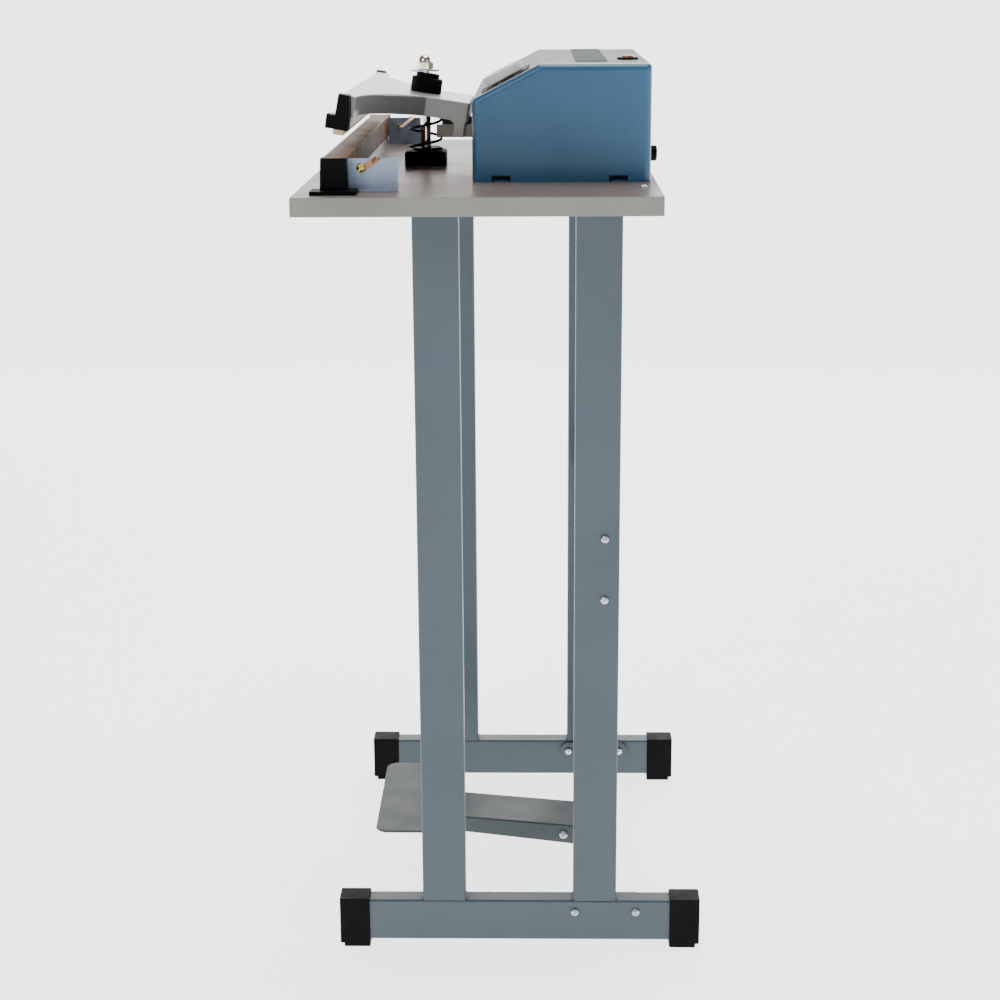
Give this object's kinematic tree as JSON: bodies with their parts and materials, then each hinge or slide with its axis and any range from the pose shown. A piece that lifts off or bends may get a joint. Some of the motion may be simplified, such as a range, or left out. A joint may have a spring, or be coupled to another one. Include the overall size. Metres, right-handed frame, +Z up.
{
  "type": "impulse heat sealer",
  "caption": "Foot-pedal impulse heat sealer: laminate table on a tubular stand, hinged press arm over a heated jaw, pull rod with spring, and a control box.",
  "frame": {"origin": "on the floor, under the middle of the overall box", "axes": "+Z up, -Y towards the operator and the jaws, +X to the operator's right, along the jaws"},
  "size_m": [0.7, 0.44, 1.0135],
  "materials": {
    "stand_paint": "blue-grey stove enamel, slightly glossy",
    "black_plastic": "moulded, satin",
    "particle_board": "raw particle board",
    "laminate": "glossy warm grey melamine laminate",
    "edge_band": "light grey PVC edging",
    "zinc_plated": "bright zinc plate",
    "chrome_plated": "polished chrome",
    "spring_black": "black oxide spring steel",
    "case_blue": "blue stove enamel, fine hammer texture",
    "case_grey": "warm grey stove enamel",
    "arm_grey": "grey metallic enamel",
    "jaw_aluminium": "extruded, satin",
    "silicone": "beige silicone strip",
    "ptfe_cloth": "brown PTFE-coated glass cloth, satin",
    "heating_alloy": "nickel-chrome ribbon",
    "brass_plated": "yellow passivated",
    "copper_lead": "copper strip",
    "knob_grey": "pale grey moulded plastic",
    "dial_black": "printed black dial",
    "label_teal": "plain dark teal plate",
    "lamp_red": "red lens",
    "amber_cap": "black and amber",
    "laminated_steel": "varnished laminations",
    "winding": "taped copper winding",
    "circuit_board": "green board with black relays"
  },
  "bodies": {
    "stand": {"foot_bar_left": "stand_paint", "foot_bar_right": "stand_paint", "foot_caps": "black_plastic", "front_post_left": "stand_paint", "front_post_right": "stand_paint", "rear_post_left": "stand_paint", "rear_post_right": "stand_paint", "post_top_plates": "stand_paint", "lower_cross_member": "stand_paint", "rear_brace": "stand_paint", "cross_member_screws": "zinc_plated", "table_board": "particle_board", "table_laminate": "laminate", "table_edge_band": "edge_band", "table_screws": "zinc_plated", "pedal_bracket": "stand_paint", "pedal_pivot_bolts": "zinc_plated", "guide_block": "black_plastic", "return_spring": "spring_black", "hinge_bracket": "case_grey", "hinge_pin": "zinc_plated", "lower_jaw_bar": "jaw_aluminium", "heating_element": "heating_alloy", "ptfe_cloth": "ptfe_cloth", "jaw_supports": "black_plastic", "element_brackets": "zinc_plated", "element_leads": "copper_lead", "terminal_screws": "brass_plated", "wrap_cover": "case_grey", "side_panel_left": "case_blue", "side_panel_right": "case_blue", "base_pan": "case_blue", "case_screws": "spring_black", "dial_plate": "dial_black", "timer_body": "black_plastic", "rocker_frame": "black_plastic", "indicator_lamp": "lamp_red", "label_plate": "label_teal", "fuse_holder": "amber_cap", "cable_gland": "black_plastic", "transformer_core": "laminated_steel", "transformer_coil": "winding", "timer_board": "circuit_board", "micro_switch": "black_plastic"},
    "pedal": {"pedal_arm": "stand_paint", "pedal_plate": "stand_paint"},
    "rod": {"pull_rod": "chrome_plated", "top_washer": "zinc_plated", "dome_nut": "chrome_plated", "lower_washer": "zinc_plated", "lower_nut": "zinc_plated"},
    "press_arm": {"arm_cover": "arm_grey", "arm_bush": "black_plastic", "upper_jaw_bar": "jaw_aluminium", "jaw_end_caps": "black_plastic", "sealing_strip": "silicone"},
    "timer_knob": {"timer_knob": "knob_grey"},
    "power_rocker": {"power_rocker": "black_plastic"}
  },
  "joints": [
    {"name": "pedal_hinge", "type": "hinge", "parent": "stand", "child": "pedal", "pos_m": [0, 0.064, 0.041], "axis": [1, 0, 0], "range_deg": [0, 3.08], "stiffness_Nm_per_rad": 25, "springref_deg": -9.17},
    {"name": "rod_slide", "type": "slide", "parent": "stand", "child": "rod", "axis": [0, 0, -1], "range_m": [0, 0.00882]},
    {"name": "press_arm_hinge", "type": "hinge", "parent": "stand", "child": "press_arm", "pos_m": [0, -0.058, 0.93], "axis": [1, 0, 0], "range_deg": [0, 9.01], "stiffness_Nm_per_rad": 10, "springref_deg": -14.32, "deforming": ["return_spring"]},
    {"name": "timer_knob_turn", "type": "hinge", "parent": "stand", "child": "timer_knob", "pos_m": [0.145, -0.003, 0.99], "axis": [0, -0.4571, 0.8894], "range_deg": [-270, 0]},
    {"name": "power_switch_rock", "type": "hinge", "parent": "stand", "child": "power_rocker", "pos_m": [-0.01, -0.003, 0.99], "axis": [1, 0, 0], "range_deg": [0, 19]}
  ],
  "couplings": [
    {"joint": "rod_slide", "follows": "pedal_hinge", "m_per_rad": 0.164},
    {"joint": "press_arm_hinge", "follows": "pedal_hinge", "ratio": 2.9235}
  ]
}
